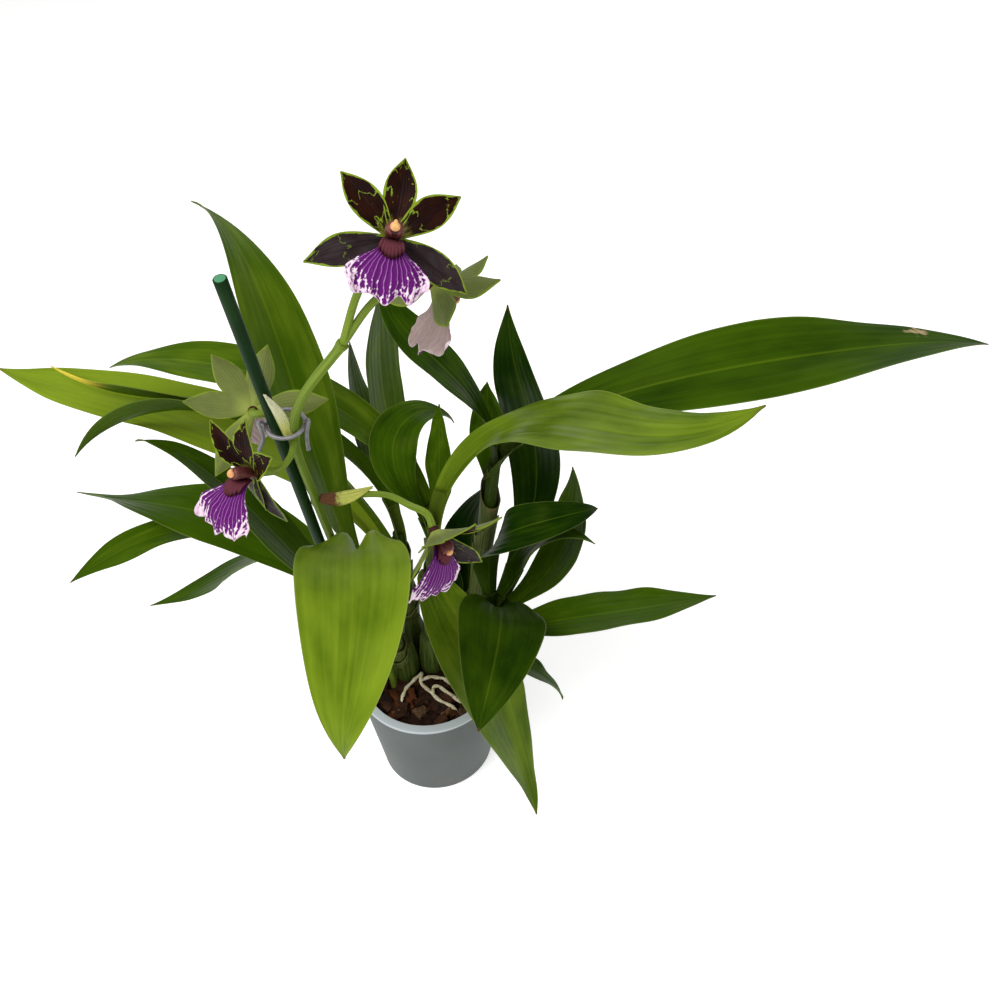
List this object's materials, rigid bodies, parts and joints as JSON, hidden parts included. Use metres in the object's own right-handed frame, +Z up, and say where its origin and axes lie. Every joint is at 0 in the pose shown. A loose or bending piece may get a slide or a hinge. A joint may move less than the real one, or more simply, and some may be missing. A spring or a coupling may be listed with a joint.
{
  "type": "potted orchid",
  "caption": "Potted zygopetalum orchid: fans of long arching leaves, a staked spike of maroon and violet blooms, bark mix and a round plastic pot.",
  "frame": {"origin": "centre of the flat underside of the pot", "axes": "+Z up, +X to the right as the plant is shown, +Y away from the viewer"},
  "size_m": [0.7605, 0.3893, 0.5784],
  "materials": {
    "pot": "semi-matte grey injection-moulded plastic, paler rim",
    "bark": "dry, dark, chunky bark",
    "roots": "matte cream root skin",
    "stake": "dark green plastic coat",
    "clip": "translucent smoky plastic",
    "growth": "satin green, with yellow-green sheaths",
    "leaf": "satin green leaf, paler below, with parallel veins",
    "spike": "satin yellow-green stem",
    "bract": "papery yellow-green",
    "tepal": "satin dark maroon with green edges and bars",
    "lip": "matte violet veins on white",
    "column": "satin maroon with a yellow cap"
  },
  "bodies": {
    "root": {"pot": "pot", "bark": "bark", "roots": "roots", "stake": "stake", "clip": "clip", "growth_left": "growth", "growth_back": "growth", "growth_middle": "growth", "growth_tall": "growth", "growth_right": "growth", "leaf_right_long": "leaf", "leaf_right_front": "leaf", "leaf_back_left_tall": "leaf", "leaf_left_light": "leaf", "leaf_left_upper": "leaf", "leaf_left_yellow_tip": "leaf", "leaf_left_curled": "leaf", "leaf_left_mid_slim": "leaf", "leaf_left_mid": "leaf", "leaf_left_low": "leaf", "leaf_left_lowest": "leaf", "leaf_front_broad": "leaf", "leaf_centre_point": "leaf", "leaf_centre_broad": "leaf", "leaf_right_dark_arch": "leaf", "leaf_right_upright": "leaf", "leaf_right_bent": "leaf", "leaf_right_pale_tip": "leaf", "leaf_right_small_tip": "leaf", "leaf_right_low": "leaf", "leaf_front_dark": "leaf", "leaf_front_light": "leaf", "leaf_right_short": "leaf", "leaf_centre_curled": "leaf", "leaf_centre_light": "leaf", "leaf_centre_small": "leaf", "leaf_inner_tall": "leaf", "leaf_inner_middle": "leaf", "spike": "spike", "bract_low": "bract", "bract_upright": "bract", "bloom_top_front_tepals": "tepal", "bloom_top_front_lip": "lip", "bloom_top_front_column": "column", "bloom_top_back_tepals": "tepal", "bloom_top_back_lip": "lip", "bloom_top_back_column": "column", "bloom_left_back_tepals": "tepal", "bloom_left_back_lip": "lip", "bloom_left_back_column": "column", "bloom_left_front_tepals": "tepal", "bloom_left_front_lip": "lip", "bloom_left_front_column": "column", "bloom_centre_tepals": "tepal", "bloom_centre_lip": "lip", "bloom_centre_column": "column"}
  },
  "joints": []
}
